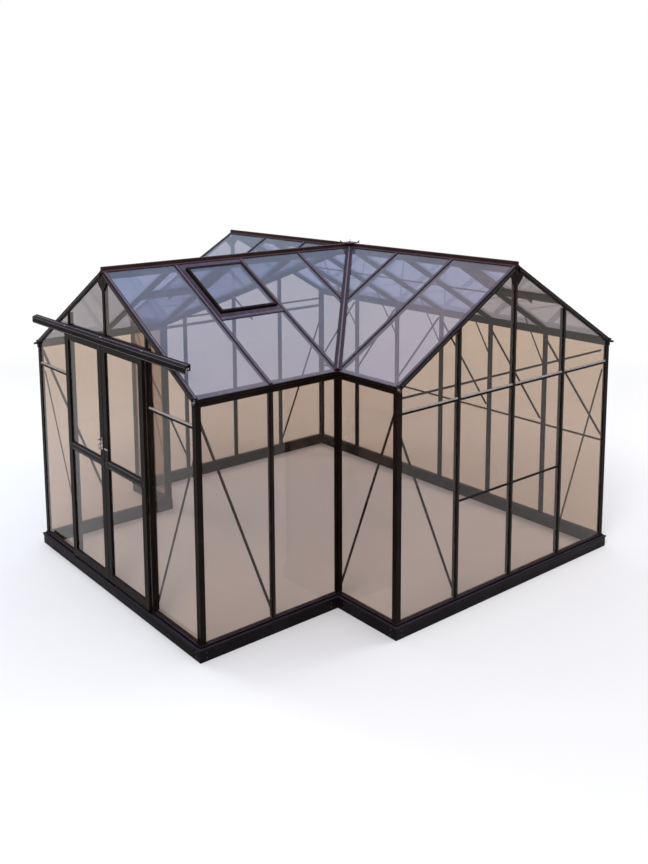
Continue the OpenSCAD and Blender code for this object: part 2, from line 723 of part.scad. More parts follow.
// Stay that holds a vent shut: a flat bar hung from the vent frame and pinned under the foot of the curb
module vent_stays() color(black) for (v = vents) on_slope(v[0]) translate([v[1], vent_foot, 0]) {
    in_sash(vent_bar) block(20, 8, -30, cap_top + vent_h - 14);
    translate([0, -14, 0]) block(20, 12, -30, -shoulder_in);
    translate([0, -40, 0]) block(16, 300, -33, -30);
}

// ---- sliding doors ----

// Track: a hood over a ledge on which the rollers run, (up, outward)
module door_track() color(deep_black) on_wall(0, wing_end) level(-track_half, track_half) polygon([
    [track_ledge_z, track_back], [track_ledge_z, hanger_n - slide_gap],
    [track_ledge_z + 3, hanger_n - slide_gap], [track_ledge_z + 3, track_back + track_wall],
    [track_z + track_h - 5, track_back + track_wall], [track_z + track_h - 19, track_front - track_wall],
    [track_z, track_front - track_wall], [track_z, track_front], [track_z + track_h - 16, track_front],
    [track_z + track_h - 13, track_front - 4], [track_z + track_h, track_back + 3], [track_z + track_h, track_back],
]);

// Brackets between the track and the posts
module track_brackets() color(black) on_wall(0, wing_end) for (i = [-1 : 1])
    level(i * bay - 14, i * bay + 14) polygon([
        [track_ledge_z, cap_top], [track_z + track_h - 8, cap_top],
        [track_z + track_h - 8, track_back], [track_ledge_z, track_back],
    ]);

// Channel on the plinth that keeps the feet of the leaves in line, (up, outward)
guide_t = 3;
guide_h = 20;
shoe_t = 12;
guide_back = leaf_mid - shoe_t / 2 - slide_gap - guide_t;
module bottom_guide() color(deep_black) on_wall(0, wing_end) level(-guide_half, guide_half, plinth_h) polygon([
    [0, sill_out], [0, leaf_front + slide_gap + guide_t], [guide_h, leaf_front + slide_gap + guide_t],
    [guide_h, leaf_front + slide_gap], [guide_t, leaf_front + slide_gap],
    [guide_t, guide_back + guide_t], [guide_h, guide_back + guide_t],
    [guide_h, guide_back], [guide_t, guide_back], [guide_t, sill_out],
]);

leaf_w = bay;
leaf_slot = 6;
lower_light = [leaf_foot + leaf_rail_h, mid_rail_z - leaf_rail_h / 2];
upper_light = [mid_rail_z + leaf_rail_h / 2, leaf_top - leaf_rail_h];

// A leaf is drawn on the right; its inner edge is half the gap from the middle.
module on_leaf(side) on_wall(0, wing_end) mirror([side, 0, 0]) translate([leaf_gap / 2, 0, 0]) children();

module leaf_frame(side) color(black) on_leaf(side) {
    difference() {
        plate(leaf_back, leaf_front) polygon([[0, leaf_foot], [leaf_w, leaf_foot], [leaf_w, leaf_top], [0, leaf_top]]);
        for (light = [lower_light, upper_light]) {
            translate([stile_w, light[0], 0]) cube([leaf_w - 2 * stile_w, light[1] - light[0], 2 * leaf_front]);
            translate([stile_w - leaf_slot, light[0] - leaf_slot, leaf_mid - glass_out])
                cube([leaf_w - 2 * stile_w + 2 * leaf_slot, light[1] - light[0] + 2 * leaf_slot, 2 * glass_out]);
        }
    }
    for (x = [stile_w / 2, leaf_w - stile_w / 2])
        translate([x - 25, plinth_h + guide_t + slide_gap, leaf_mid - shoe_t / 2])
            cube([50, leaf_foot - plinth_h - guide_t - slide_gap, shoe_t]);
}

module leaf_glass(side) color(clear) on_leaf(side) for (light = [lower_light, upper_light])
    translate([stile_w - leaf_slot + edge_play, light[0] - leaf_slot + edge_play, leaf_mid - pane_out])
        cube([leaf_w - 2 * stile_w + 2 * (leaf_slot - edge_play),
            light[1] - light[0] + 2 * (leaf_slot - edge_play), glass_t]);

// Two hangers on each leaf: a plate that stands on the leaf and a roller on the ledge of the track
roller_z = track_ledge_z + 3 + 0.3 + roller_r;
module leaf_rollers(side) color("#3a3536") on_leaf(side) for (x = [stile_w, leaf_w - stile_w]) {
    translate([x - 20, leaf_top, hanger_n]) cube([40, roller_z + 8 - leaf_top, 4]);
    translate([x, roller_z, track_back + track_wall + 3]) {
        cylinder(h = 11, r = roller_r, $fn = 48);
        cylinder(h = hanger_n - track_back - track_wall - 2, r = 4, $fn = 32);
    }
}

// Latch on the left leaf: a plate on the inner stile, a bowed pull, and over it a turn with a wide head
module left_door_latch() color(steel) on_leaf(1) translate([stile_w / 2, latch_z, leaf_front]) {
    rod = 4;
    bow = 17;
    reach = pull_out - rod;
    translate([-9, -30, 0]) cube([18, 92, 3]);
    for (y = [-bow, bow]) {
        translate([0, y, 0]) cylinder(h = reach, r = rod, $fn = 32);
        translate([0, y, reach]) sphere(r = rod, $fn = 32);
    }
    translate([0, -bow, reach]) rotate([-90, 0, 0]) cylinder(h = 2 * bow, r = rod, $fn = 32);
    translate([4, 0, 0]) rotate([0, -90, 0]) linear_extrude(8)
        polygon([[0, 32], [0, 56], [4, 60], [34, 56], [34, 48], [14, 44], [8, 32]]);
}

// Keep on the right leaf, in line with the latch
module right_door_keep() color(steel) on_leaf(0)
    translate([3, latch_z - 22, leaf_front]) cube([stile_w - 8, 8, 3]);

module left_door_frame() leaf_frame(1);
module left_door_glass() leaf_glass(1);
module left_door_rollers() leaf_rollers(1);
module right_door_frame() leaf_frame(0);
module right_door_glass() leaf_glass(0);
module right_door_rollers() leaf_rollers(0);

plinth_fronts();
plinth_sides();
sill_fronts();
sill_sides();
corner_posts();
inner_corner_posts();
wall_bars();
gable_posts();
door_posts();
door_gable_post();
transoms();
gable_ties();
glass_strips();
door_header();
wall_braces();
knee_braces();
apex_plates();
main_eaves();
wing_eaves();
gutter_ends();
ridges();
ridge_cover();
main_rafters();
wing_rafters();
jack_rafters();
valley_bars();
gable_rafters();
door_gable_glass();
side_glass();
main_gable_glass();
rear_glass();
main_roof_glass();
wing_roof_glass();
vent_frames();
vent_glass();
vent_curbs();
vent_stays();
door_track();
track_brackets();
bottom_guide();
left_door_frame();
left_door_glass();
left_door_rollers();
left_door_latch();
right_door_frame();
right_door_glass();
right_door_rollers();
right_door_keep();
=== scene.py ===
"""Finish of the glass greenhouse: coated bars, panes, fixings, roof vents, sliding doors and the studio."""

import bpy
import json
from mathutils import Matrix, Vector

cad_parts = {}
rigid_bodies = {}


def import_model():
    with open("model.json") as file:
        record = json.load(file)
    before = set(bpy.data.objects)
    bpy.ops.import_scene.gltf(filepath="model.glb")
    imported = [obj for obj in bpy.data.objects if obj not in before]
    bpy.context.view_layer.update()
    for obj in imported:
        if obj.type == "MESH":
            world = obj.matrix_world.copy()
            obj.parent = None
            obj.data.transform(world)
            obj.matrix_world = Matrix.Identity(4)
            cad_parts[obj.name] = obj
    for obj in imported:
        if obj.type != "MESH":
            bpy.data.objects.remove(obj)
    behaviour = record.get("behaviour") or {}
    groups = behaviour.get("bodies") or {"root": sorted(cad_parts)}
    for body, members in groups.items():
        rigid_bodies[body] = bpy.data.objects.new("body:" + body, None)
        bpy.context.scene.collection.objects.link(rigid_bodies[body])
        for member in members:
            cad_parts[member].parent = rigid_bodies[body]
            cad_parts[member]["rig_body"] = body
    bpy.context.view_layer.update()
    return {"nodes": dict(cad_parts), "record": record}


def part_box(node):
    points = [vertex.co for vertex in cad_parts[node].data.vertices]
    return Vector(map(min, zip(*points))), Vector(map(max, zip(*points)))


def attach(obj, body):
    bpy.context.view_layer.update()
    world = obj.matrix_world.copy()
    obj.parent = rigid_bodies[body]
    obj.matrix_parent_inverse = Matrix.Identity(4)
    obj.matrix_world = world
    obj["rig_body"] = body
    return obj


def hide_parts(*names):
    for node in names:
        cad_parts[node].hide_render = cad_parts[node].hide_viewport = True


bl_info = {
    "name": "Glass greenhouse",
    "version": (1, 0, 0),
    "blender": (4, 5, 0),
    "location": "View3D > Sidebar > Greenhouse",
    "description": "Finishes a glass greenhouse around its packed frame",
    "category": "Object",
}

import json
import math

import bmesh
import bpy
from mathutils import Euler, Matrix, Vector
from mathutils.bvhtree import BVHTree

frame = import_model()
MM = 0.001


# ---- sizes ----

# From one glazing bar to the next
BAY = 630 * MM

# Edges between faces at more than this angle are rounded
SHARP_ANGLE = math.radians(32)
# Faces at less than this angle are one flat face
FLAT_ANGLE = math.radians(0.3)
# Points nearer than this are one point
WELD = 0.002 * MM
# Faces shorter than this carry no rib and no screw
SHORTEST_FACE = 150 * MM
# A line that seeks a seat on a piece starts this far outside it
REACH = 100 * MM

# Least and greatest width of the faces that carry ribs or screws, in millimetres
FACE_WIDTHS = {
    "main_rafters": (26, 32), "wing_rafters": (26, 32), "jack_rafters": (26, 32), "valley_bars": (50, 70),
    "gable_rafters": (26, 37), "wall_bars": (26, 32), "gable_posts": (26, 32), "door_posts": (26, 32),
    "vent_curbs": (18, 80), "ridges": (8, 14), "door_track": (12, 60),
    "wall_braces": (20, 24), "knee_braces": (10, 40),
}
# Bars with a raised rib along their caps
CAPPED_BARS = (
    "main_rafters", "wing_rafters", "jack_rafters", "valley_bars", "gable_rafters", "wall_bars",
    "gable_posts", "door_posts",
)
# How far up the normal of a face points, at least: on a roof slope, on the hood of the track, on a crest
SLOPE_UP = 0.3
HOOD_UP = 0.5
CREST_UP = 0.9
# How far up or down it points, at most, on an upright face
UPRIGHT = 0.1
# A rib is this much shorter than the face that carries it
RIB_PLAY = 4 * MM
FINE_RIB = {"Width": 3.5 * MM, "Height": 1.2 * MM}
# Fine ribs lie this far above and below the middle of the track's front, and of a leaf's middle rail
TRACK_RIBS = 19 * MM
RAIL_RIBS = 20 * MM

# Door leaf: width of a stile, and the middle of its middle rail above the foot of its frame
STILE_WIDTH = 60 * MM
MID_RAIL = 992 * MM

# Screws of an apex plate: sideways from its middle, and above its foot
PLATE_SCREWS = ((0, 16 * MM), (0, 92 * MM), (-50 * MM, 78 * MM), (50 * MM, 78 * MM))
# Screws of the flat braces and of the knee braces: in from their ends
BRACE_INSET = 15 * MM
KNEE_INSET = 22 * MM
# Screws of the track: sideways from a post, and below its top
TRACK_PAIR = 8 * MM
TRACK_DROP = 8 * MM
# Screws of a door leaf: in from its edges, above its foot, below its top, and up and down in a pair
LEAF_INSET = 30 * MM
LEAF_FOOT = 46 * MM
LEAF_TOP = 31 * MM
LEAF_PAIR = 12 * MM
# Screws of the plinth: above the ground, and in from the corners
PLINTH_HEIGHTS = (28 * MM, 65 * MM)
PLINTH_INSET = 60 * MM

# Stops of the track: size of a block, and its middle in from the end, behind the front and above the foot
STOP_BLOCK = (10 * MM, 26 * MM, 17 * MM)
STOP_INSET = 7 * MM
STOP_DEPTH = 22 * MM
STOP_RISE = 37 * MM
# Screws of a stop: in from the end of the track, and before and behind the stop's middle
STOP_SCREW_INSET = 2 * MM
STOP_PAIR = 7 * MM

# Brush seals: width and depth of the carrier, how far in from the edge of a post, and play before the leaf
BRUSH_WIDTH = 8 * MM
BRUSH_CARRIER = 3 * MM
BRUSH_INSET = 27 * MM
BRUSH_PLAY = 1.6 * MM
# Brush seals end this far above the foot and below the top of a leaf
BRUSH_FOOT = 4 * MM
BRUSH_TOP = 22 * MM
# Bulb between the leaves: section, and how much shorter it is than a leaf
BULB = {"Width": 10 * MM, "Height": 3.6 * MM}
BULB_PLAY = 8 * MM

# The floor fades to white between these distances from the middle
FLOOR_FADE = (3.6, 9.0)
# The lamps point at this place
LAMP_AIM = (0, 0, 1.2)
# Lamps: name, place, size, watts and colour
LAMPS = (
    ("key_lamp", (5.5, -6.5, 7.5), 4.0, 520.0, (1.0, 0.97, 0.93)),
    ("side_lamp", (-7.0, -3.0, 5.5), 4.5, 260.0, (0.93, 0.96, 1.0)),
    ("rear_lamp", (3.0, 7.5, 6.5), 4.5, 300.0, (1.0, 0.93, 0.86)),
)
# A line of sight can pass six panes, of two faces each
PANE_BOUNCES = 32


# ---- settings ----


class GreenhouseBars(bpy.types.PropertyGroup):
    """Coat and edges of the bars"""

    coat: bpy.props.FloatVectorProperty(
        name="Coat", description="Colour of the powder coat on the bars",
        subtype="COLOR", size=3, default=(0.0048, 0.0026, 0.0020), min=0, max=1,
    )
    base_coat: bpy.props.FloatVectorProperty(
        name="Base coat", description="Colour of the plinth",
        subtype="COLOR", size=3, default=(0.0045, 0.0034, 0.0040), min=0, max=1,
    )
    ridge_coat: bpy.props.FloatVectorProperty(
        name="Ridge coat", description="Colour of the ridge caps",
        subtype="COLOR", size=3, default=(0.017, 0.0075, 0.0065), min=0, max=1,
    )
    track_coat: bpy.props.FloatVectorProperty(
        name="Track coat", description="Colour of the track of the doors",
        subtype="COLOR", size=3, default=(0.0028, 0.0018, 0.0018), min=0, max=1,
    )
    # Lighter coat of the fine ribs, which paints highlight lines along the track, curbs, ridges and door
    # rails
    painted_highlight_coat: bpy.props.FloatVectorProperty(
        name="Line coat", description="Colour of the fine bright ribs",
        subtype="COLOR", size=3, default=(0.034, 0.028, 0.032), min=0, max=1,
    )
    edge: bpy.props.FloatProperty(
        name="Edge", description="Radius of the edges of the extruded bars",
        unit="LENGTH", default=0.8 * MM, min=0.2 * MM, max=2 * MM,
    )
    round_edge: bpy.props.FloatProperty(
        name="Round edge", description="Radius of the edges of the ridge caps, vent frames and plinth",
        unit="LENGTH", default=2.2 * MM, min=0.5 * MM, max=4 * MM,
    )


class GreenhouseFixings(bpy.types.PropertyGroup):
    """Ribs, screws and seals"""

    rib_width: bpy.props.FloatProperty(
        name="Rib width", description="Width of the raised rib along a cap",
        unit="LENGTH", default=11 * MM, min=4 * MM, max=16 * MM,
    )
    rib_height: bpy.props.FloatProperty(
        name="Rib height", description="How far the rib stands above the cap",
        unit="LENGTH", default=1.6 * MM, min=0.5 * MM, max=3 * MM,
    )
    screw_radius: bpy.props.FloatProperty(
        name="Screw radius", description="Radius of the head of a screw",
        unit="LENGTH", default=4.5 * MM, min=3 * MM, max=7 * MM,
    )
    screw_height: bpy.props.FloatProperty(
        name="Screw height", description="Height of the head of a screw",
        unit="LENGTH", default=2.6 * MM, min=1.5 * MM, max=4 * MM,
    )
    bristle_spacing: bpy.props.FloatProperty(
        name="Bristle spacing", description="Distance between the tufts of a brush seal",
        unit="LENGTH", default=2.5 * MM, min=1.5 * MM, max=6 * MM,
    )


class GreenhousePanes(bpy.types.PropertyGroup):
    """Glass of the walls and of the roof"""

    wall_tint: bpy.props.FloatVectorProperty(
        name="Wall tint", description="Share of light that one face of a wall pane passes",
        subtype="COLOR", size=3, default=(0.84, 0.78, 0.73), min=0, max=1,
    )
    roof_tint: bpy.props.FloatVectorProperty(
        name="Roof tint", description="Share of light that one face of a roof pane passes",
        subtype="COLOR", size=3, default=(0.74, 0.77, 0.86), min=0, max=1,
    )
    arris: bpy.props.FloatProperty(
        name="Arris", description="Width of the ground edge of a pane",
        unit="LENGTH", default=0.5 * MM, min=0.1 * MM, max=1 * MM,
    )


class GreenhouseStage(bpy.types.PropertyGroup):
    """Floor and camera"""

    floor: bpy.props.FloatVectorProperty(
        name="Floor", description="Colour of the floor",
        subtype="COLOR", size=3, default=(0.86, 0.86, 0.87), min=0, max=1,
    )
    floor_size: bpy.props.FloatProperty(
        name="Floor size", description="Side of the floor",
        unit="LENGTH", default=60, min=20, max=200,
    )
    lens: bpy.props.FloatProperty(
        name="Lens", description="Focal length of the camera",
        unit="CAMERA", default=39.09, min=20, max=100,
    )
    camera: bpy.props.FloatVectorProperty(
        name="Camera", description="Place of the camera from where the ridges cross, above the ground",
        subtype="XYZ", unit="LENGTH", size=3, default=(6.399, -5.783, 3.534),
    )
    turn: bpy.props.FloatVectorProperty(
        name="Turn", description="Tilt, roll and turn of the camera", subtype="EULER", unit="ROTATION",
        size=3, default=(math.radians(81.77), math.radians(0.68), math.radians(52.40)),
    )
    shift: bpy.props.FloatVectorProperty(
        name="Shift", description="Sideways and upward shift of the lens, in widths of the frame",
        size=2, default=(0.0567, -0.1751),
    )


# ---- shader nodes ----


def blank(name):
    """A material with only its output, and its node tree."""
    material = bpy.data.materials.new(name)
    material.use_nodes = True
    tree = material.node_tree
    tree.nodes.clear()
    tree.nodes.new("ShaderNodeOutputMaterial")
    return material, tree


def node(tree, kind, inputs=None, **settings):
    """Adds a node. A socket among the inputs is linked, and any other value is set."""
    made = tree.nodes.new(kind)
    for key, value in settings.items():
        setattr(made, key, value)
    for key, value in (inputs or {}).items():
        if isinstance(value, bpy.types.NodeSocket):
            tree.links.new(value, made.inputs[key])
        else:
            made.inputs[key].default_value = value
    return made


def place_on_piece(tree, stretch=(1, 1, 1)):
    """Object coordinates, stretched."""
    coords = node(tree, "ShaderNodeTexCoord").outputs["Object"]
    return node(tree, "ShaderNodeMapping", {"Vector": coords, "Scale": stretch}).outputs["Vector"]


def noise(tree, where, scale, detail=2.0, roughness=0.5):
    """Cloudy value from 0 to 1."""
    inputs = {"Vector": where, "Scale": scale, "Detail": detail, "Roughness": roughness}
    return node(tree, "ShaderNodeTexNoise", inputs).outputs["Fac"]


def spread(tree, value, low, high, to_low=0.0, to_high=1.0):
    """Value from low to high, mapped to a new range and held inside it."""
    inputs = {"Value": value, "From Min": low, "From Max": high, "To Min": to_low, "To Max": to_high}
    return node(tree, "ShaderNodeMapRange", inputs).outputs["Result"]


def maths(tree, operation, a, b):
    """Result of one operation on two values."""
    return node(tree, "ShaderNodeMath", {0: a, 1: b}, operation=operation).outputs[0]


def times(tree, a, b):
    """Product of two values."""
    return maths(tree, "MULTIPLY", a, b)


def blended(tree, factor, a, b):
    """Colour a turning to b with the factor."""
    mix = tree.nodes.new("ShaderNodeMix")
    mix.data_type = "RGBA"
    for socket, value in zip((mix.inputs[0], mix.inputs[6], mix.inputs[7]), (factor, a, b)):
        if isinstance(value, bpy.types.NodeSocket):
            tree.links.new(value, socket)
        else:
            socket.default_value = (*value[:3], 1)
    return mix.outputs[2]


def facing_up(tree):
    """How much a face looks up: 1 is straight up, and -1 straight down."""
    normal = node(tree, "ShaderNodeNewGeometry").outputs["Normal"]
    return node(tree, "ShaderNodeSeparateXYZ", {"Vector": normal}).outputs["Z"]


def show(tree, shader):
    """Makes the shader the surface of the material."""
    tree.links.new(shader, tree.nodes["Material Output"].inputs["Surface"])


def powder_coat(
    name, colour, roughness, dust_and_sky_sheen, dust_and_sky_sheen_colour=(0.17, 0.13, 0.20), shine=0.04, tilt=(0.45, 0.9),
):
    """Satin powder coat: fine orange peel, faint run marks, and a pale lavender tint on what looks up, which
    is partly settled dirt and partly a painted sky reflection.

    The tilt is how much a face looks up where this painted sheen starts, and where it is whole.
    """
    material, tree = blank(name)
    where = place_on_piece(tree)
    cloudy = noise(tree, where, 5.0, 4.0)
    runs = noise(tree, place_on_piece(tree, (55, 55, 1.6)), 1.0, 3.0)
    peel = noise(tree, where, 850.0, 1.0)
    lit = [c * 1.7 + 0.0008 for c in colour]
    base = blended(tree, spread(tree, cloudy, 0.35, 0.7), colour, lit)
    grit = spread(tree, noise(tree, where, 38.0, 5.0, 0.7), 0.3, 0.75, 0.45, 1.0)
    # Painted sky reflection mixed with dirt: faces that look up turn pale lavender, patchy where the grit
    # noise is high
    dust_and_sky_sheen_mask = times(tree, times(tree, grit, spread(tree, facing_up(tree), *tilt)), dust_and_sky_sheen)
    base = blended(tree, dust_and_sky_sheen_mask, base, dust_and_sky_sheen_colour)
    sheen = spread(tree, runs, 0.3, 0.75, roughness - 0.06, roughness + 0.10)
    rough = maths(tree, "ADD", sheen, times(tree, dust_and_sky_sheen_mask, 0.4))
    bump = node(tree, "ShaderNodeBump", {"Height": peel, "Strength": 0.05, "Distance": 0.4 * MM})
    shader = node(tree, "ShaderNodeBsdfPrincipled", {
        "Base Color": base, "Roughness": rough, "Normal": bump.outputs["Normal"],
        "Specular IOR Level": shine,
    })
    show(tree, shader.outputs[0])
    return material


def pane_glass(name, tint, painted_reflection_colours, haze_and_reflection_share, mirror_share):
    """Thin glass: it passes tinted light, mirrors more at a slant, and carries a thin diffuse film that is
    partly haze and partly a painted reflection of the surroundings.

    The film's painted colour goes from the first to the second along the length of the roof.
    """
    material, tree = blank(name)
    where = place_on_piece(tree)
    passed = node(tree, "ShaderNodeBsdfTransparent", {"Color": (*tint, 1)})
    mirror = node(tree, "ShaderNodeBsdfGlossy", {"Color": (1, 1, 1, 1), "Roughness": 0.03})
    along = node(tree, "ShaderNodeSeparateXYZ", {"Vector": where}).outputs["X"]
    cloudy = noise(tree, where, 1.7, 5.0, 0.6)
    drift = maths(tree, "ADD", along, spread(tree, cloudy, 0.2, 0.8, -0.5, 0.5))
    # The film's colour is a painted reflection that drifts along the length of the roof
    colour = blended(tree, spread(tree, drift, 0.0, 1.7), *painted_reflection_colours)
    film = node(tree, "ShaderNodeBsdfDiffuse", {"Color": colour})
    patchy = spread(tree, cloudy, 0.25, 0.75, haze_and_reflection_share * 0.75, haze_and_reflection_share * 1.25)
    clear = node(tree, "ShaderNodeMixShader", {0: patchy, 1: passed.outputs[0], 2: film.outputs[0]})
    slant = node(tree, "ShaderNodeLayerWeight", {"Blend": 0.5}).outputs["Facing"]
    steep = maths(tree, "POWER", slant, 5.0)
    share = spread(tree, steep, 0.0, 1.0, mirror_share, 0.85)
    whole = node(tree, "ShaderNodeMixShader", {0: share, 1: clear.outputs[0], 2: mirror.outputs[0]})
    show(tree, whole.outputs[0])
    return material


def bare_metal(name, colour, roughness):
    """Brushed bare metal with fine scratches."""
    material, tree = blank(name)
    scratches = noise(tree, place_on_piece(tree, (90, 90, 1400)), 1.0, 4.0)
    base = blended(tree, scratches, [c * 0.8 for c in colour], colour)
    rough = spread(tree, scratches, 0.3, 0.7, roughness - 0.08, roughness + 0.1)
    metal = {"Base Color": base, "Metallic": 1.0, "Roughness": rough}
    shader = node(tree, "ShaderNodeBsdfPrincipled", metal)
    show(tree, shader.outputs[0])
    return material


def dull_rubber(name, colour, roughness):
    """Rubber or nylon with a fine mottle."""
    material, tree = blank(name)
    mottle = noise(tree, place_on_piece(tree), 260.0, 3.0)
    base = blended(tree, mottle, colour, [c * 1.6 for c in colour])
    rough = spread(tree, mottle, 0.2, 0.8, roughness - 0.05, roughness + 0.08)
    bump = node(tree, "ShaderNodeBump", {"Height": mottle, "Strength": 0.1, "Distance": 0.3 * MM})
    shader = node(tree, "ShaderNodeBsdfPrincipled", {
        "Base Color": base, "Roughness": rough, "Normal": bump.outputs["Normal"],
    })
    show(tree, shader.outputs[0])
    return material


# ---- meshes ----


def linked(name, mesh, material):
    """A new object for the mesh, at the origin."""
    piece = bpy.data.objects.new(name, mesh)
    mesh.materials.clear()
    mesh.materials.append(material)
    bpy.context.scene.collection.objects.link(piece)
    return piece


def merged_copy(cad_name):
    """Mesh of a CAD node with its doubles merged and its flat faces whole."""
    source = frame["nodes"][cad_name]
    mesh = bpy.data.meshes.new(cad_name + "_mesh")
    shape = bmesh.new()
    shape.from_mesh(source.data)
    bmesh.ops.remove_doubles(shape, verts=shape.verts, dist=WELD)
    bmesh.ops.dissolve_limit(shape, angle_limit=FLAT_ANGLE, verts=shape.verts, edges=shape.edges)
    shape.to_mesh(mesh)
    shape.free()
    return mesh


def soften(piece, radius, steps=2):
    """Rounds the sharp edges of a piece and keeps its faces flat."""
    piece.data.polygons.foreach_set("use_smooth", [True] * len(piece.data.polygons))
    piece.data.set_sharp_from_angle(angle=SHARP_ANGLE)
    bevel = piece.modifiers.new("edges", "BEVEL")
    bevel.width = radius
    bevel.segments = steps
    bevel.limit_method = "ANGLE"
    bevel.angle_limit = SHARP_ANGLE
    bevel.harden_normals = True
    # A clamp would suit the whole piece to its shortest edge, which is a few microns long
    bevel.use_clamp_overlap = False
    bake_down(piece)


def bake_down(piece):
    """Turns a piece with live modifiers into its plain mesh."""
    seen = piece.evaluated_get(bpy.context.evaluated_depsgraph_get())
    mesh = bpy.data.meshes.new_from_object(seen)
    old = piece.data
    piece.modifiers.clear()
    piece.data = mesh
    bpy.data.meshes.remove(old)


def body_of(cad_name):
    """The body that a node moves with."""
    return frame["nodes"][cad_name]["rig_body"]


def slot_of(cad_name):
    """The record's material slot of a node."""
    return next(part["material_slot"] for part in frame["record"]["subparts"] if part["node"] == cad_name)


def finish_node(cad_name, material, radius, steps=2):
    """Puts a finished piece in the place of a CAD node."""
    piece = linked(cad_name + "_finished", merged_copy(cad_name), material)
    soften(piece, radius, steps)
    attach(piece, body_of(cad_name))
    slot_of(cad_name)
    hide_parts(cad_name)


def long_faces(cad_name):
    """Long faces of a node for ribs or screws: middle, direction, outward normal and length of each."""
    narrowest, widest = (width * MM for width in FACE_WIDTHS[cad_name])
    mesh = merged_copy(cad_name)
    shape = bmesh.new()
    shape.from_mesh(mesh)
    found = []
    for face in shape.faces:
        edge = max(face.edges, key=lambda one: one.calc_length())
        along = (edge.verts[1].co - edge.verts[0].co).normalized()
        across = face.normal.cross(along)
        reach = [vert.co.dot(across) for vert in face.verts]
        if edge.calc_length() < SHORTEST_FACE or not narrowest <= max(reach) - min(reach) <= widest:
            continue
        middle = (max(reach) + min(reach)) / 2
        ends = []
        for side in face.edges:
            a, b = (vert.co for vert in side.verts)
            left, right = a.dot(across) - middle, b.dot(across) - middle
            if (left < 0) != (right < 0):
                ends.append(a.lerp(b, left / (left - right)))
        ends.sort(key=lambda point: point.dot(along))
        found.append(((ends[0] + ends[-1]) / 2, along, face.normal.copy(), (ends[-1] - ends[0]).length))
    shape.free()
    bpy.data.meshes.remove(mesh)
    return found


def looks_out(middle, normal):
    """Whether a face looks up, or away from the middle of the building."""
    outward = middle.x * normal.x + middle.y * normal.y > 0
    return normal.z > SLOPE_UP or (abs(normal.z) < UPRIGHT and outward)


def seated(cad_name, starts, direction):
    """Points and normals where level lines in a direction meet a node."""
    mesh = merged_copy(cad_name)
    shape = bmesh.new()
    shape.from_mesh(mesh)
    tree = BVHTree.FromBMesh(shape)
    seats = []
    for start in starts:
        point, normal, _, _ = tree.ray_cast(Vector(start), Vector(direction))
        if point is None:
            raise RuntimeError(f"No seat on {cad_name} at {start}")
        seats.append((point, normal))
    shape.free()
    bpy.data.meshes.remove(mesh)
    return seats


def stamp_mesh(name, stamps):
    """Points for a tree of stamps. A stamp is a point, its along and outward directions, and its length."""
    mesh = bpy.data.meshes.new(name)
    mesh.from_pydata([tuple(point) for point, _, _, _ in stamps], [], [])
    turn = mesh.attributes.new("turn", "FLOAT_VECTOR", "POINT")
    stretch = mesh.attributes.new("stretch", "FLOAT_VECTOR", "POINT")
    for i, (_, along, outward, length) in enumerate(stamps):
        axes = Matrix((outward.cross(along), outward, along)).transposed()
        turn.data[i].vector = axes.to_euler("XYZ")
        stretch.data[i].vector = (1, 1, length)
    return mesh


def screw_stamps(seats):
    """Stamps for screws: a head points out along the normal."""
    return [(point, normal, normal.orthogonal().normalized(), 1.0) for point, normal in seats]


def sized_tree(name, sizes):
    """An empty Geometry Nodes tree with a mesh, named lengths and a material as inputs."""
    tree = bpy.data.node_groups.new(name, "GeometryNodeTree")
    tree.interface.new_socket("Geometry", in_out="INPUT", socket_type="NodeSocketGeometry")
    for label, value in sizes.items():
        socket = tree.interface.new_socket(label, in_out="INPUT", socket_type="NodeSocketFloat")
        socket.subtype = "DISTANCE"
        socket.default_value = value
    tree.interface.new_socket("Material", in_out="INPUT", socket_type="NodeSocketMaterial")
    tree.interface.new_socket("Geometry", in_out="OUTPUT", socket_type="NodeSocketGeometry")
    return tree, node(tree, "NodeGroupInput").outputs


def finish_tree(tree, given, instances):
    """Ends a tree: the instances become real and take the material."""
    real = node(tree, "GeometryNodeRealizeInstances", {"Geometry": instances}).outputs["Geometry"]
    coated = node(tree, "GeometryNodeSetMaterial", {"Geometry": real, "Material": given["Material"]})
    node(tree, "NodeGroupOutput", {"Geometry": coated.outputs["Geometry"]})
    return tree


def stamped(tree, given, shape):
    """Sets the shape on every point, with the point's own turn and stretch."""
    kind = "GeometryNodeInputNamedAttribute"
    turn, stretch = (
        node(tree, kind, {"Name": label}, data_type="FLOAT_VECTOR").outputs["Attribute"]
        for label in ("turn", "stretch")
    )
    spin = node(tree, "FunctionNodeEulerToRotation", {"Euler": turn}).outputs["Rotation"]
    placed = {"Points": given["Geometry"], "Instance": shape, "Rotation": spin, "Scale": stretch}
    return finish_tree(tree, given, node(tree, "GeometryNodeInstanceOnPoints", placed).outputs["Instances"])


def rib_tree(sizes):
    """Flat rib with eased edges, one length unit long, half sunk in what carries it."""
    tree, given = sized_tree("cap_rib", sizes)
    box = {"Width": given["Width"], "Height": times(tree, given["Height"], 2.0)}
    outline = node(tree, "GeometryNodeCurvePrimitiveQuadrilateral", box).outputs["Curve"]
    eased = {"Curve": outline, "Radius": times(tree, given["Height"], 0.6), "Count": 2}
    section = node(tree, "GeometryNodeFilletCurve", eased, mode="POLY").outputs["Curve"]
    ends = {"Start": (0, 0, -0.5), "End": (0, 0, 0.5)}
    path = node(tree, "GeometryNodeCurvePrimitiveLine", ends).outputs["Curve"]
    swept = {"Curve": path, "Profile Curve": section, "Fill Caps": True}
    return stamped(tree, given, node(tree, "GeometryNodeCurveToMesh", swept).outputs["Mesh"])


